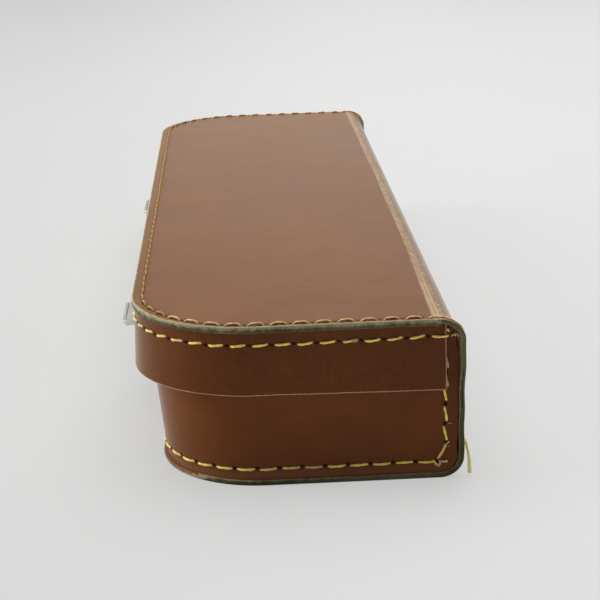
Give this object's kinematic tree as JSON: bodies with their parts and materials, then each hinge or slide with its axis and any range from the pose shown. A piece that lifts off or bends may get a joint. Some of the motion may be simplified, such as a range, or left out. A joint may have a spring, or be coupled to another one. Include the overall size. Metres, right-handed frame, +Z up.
{
  "type": "flute case",
  "caption": "Long flat stitched-leather instrument case with a hinged lid, telescoping band, sprung hasps, slide locks, bail handle and troughed plush cradles.",
  "frame": {"origin": "middle of the closed lid's footprint, on the underside", "axes": "+X to the hinge side, +Y along the case, +Z up"},
  "size_m": [0.127, 0.4002, 0.0609],
  "materials": {
    "leather": "glossy brown, smooth",
    "velvet": "short wine-red plush",
    "thread": "waxed yellow thread",
    "chrome": "polished, slightly dulled",
    "steel": "plain wire"
  },
  "bodies": {
    "base": {"body_wrap": "leather", "base_wall": "leather", "base_stitching": "thread", "back_stitching": "thread", "underside_stitching": "thread", "thread_tail": "thread", "floor_lining": "velvet", "wall_lining": "velvet", "back_lining": "velvet", "body_cradle": "velvet", "head_cradle": "velvet", "foot_cradle": "velvet", "lock_rivets": "chrome", "handle_rivets": "chrome", "handle_mount_near": "chrome", "handle_mount_far": "chrome", "lock_base_near": "chrome", "lock_case_near": "chrome", "lock_base_far": "chrome", "lock_case_far": "chrome"},
    "lid": {"lid_top": "leather", "lid_band": "leather", "lid_lining": "velvet", "lid_pad": "velvet", "lid_band_stitching": "thread", "lid_top_stitching": "thread", "hasp_leaf_rivets": "chrome", "hasp_leaf_near": "chrome", "hasp_pin_near": "steel", "hasp_spring_near": "steel", "hasp_leaf_far": "chrome", "hasp_pin_far": "steel", "hasp_spring_far": "steel"},
    "hasp_near": {"hasp_near": "chrome"},
    "slide_near": {"lock_slide_near": "chrome", "slide_spring_near": "steel"},
    "hasp_far": {"hasp_far": "chrome"},
    "slide_far": {"lock_slide_far": "chrome", "slide_spring_far": "steel"},
    "handle": {"handle_bail": "chrome", "handle_grip": "leather"}
  },
  "joints": [
    {"name": "lid_hinge", "type": "hinge", "parent": "base", "child": "lid", "pos_m": [0.0485, 0, 0.06], "axis": [0, 1, 0], "range_deg": [0, 170]},
    {"name": "handle_swing", "type": "hinge", "parent": "base", "child": "handle", "pos_m": [-0.05525, 0, 0.028], "axis": [0, 1, 0], "range_deg": [0, 125]},
    {"name": "hasp_hinge_near", "type": "hinge", "parent": "lid", "child": "hasp_near", "pos_m": [-0.0596, -0.092, 0.033], "axis": [0, -1, 0], "range_deg": [0, 90], "stiffness_Nm_per_rad": 0.002, "springref_deg": -17.19},
    {"name": "slide_travel_near", "type": "slide", "parent": "base", "child": "slide_near", "axis": [0, -1, 0], "range_m": [0, 0.004]},
    {"name": "hasp_hinge_far", "type": "hinge", "parent": "lid", "child": "hasp_far", "pos_m": [-0.0596, 0.092, 0.033], "axis": [0, -1, 0], "range_deg": [0, 90], "stiffness_Nm_per_rad": 0.002, "springref_deg": -17.19},
    {"name": "slide_travel_far", "type": "slide", "parent": "base", "child": "slide_far", "axis": [0, -1, 0], "range_m": [0, 0.004]}
  ]
}
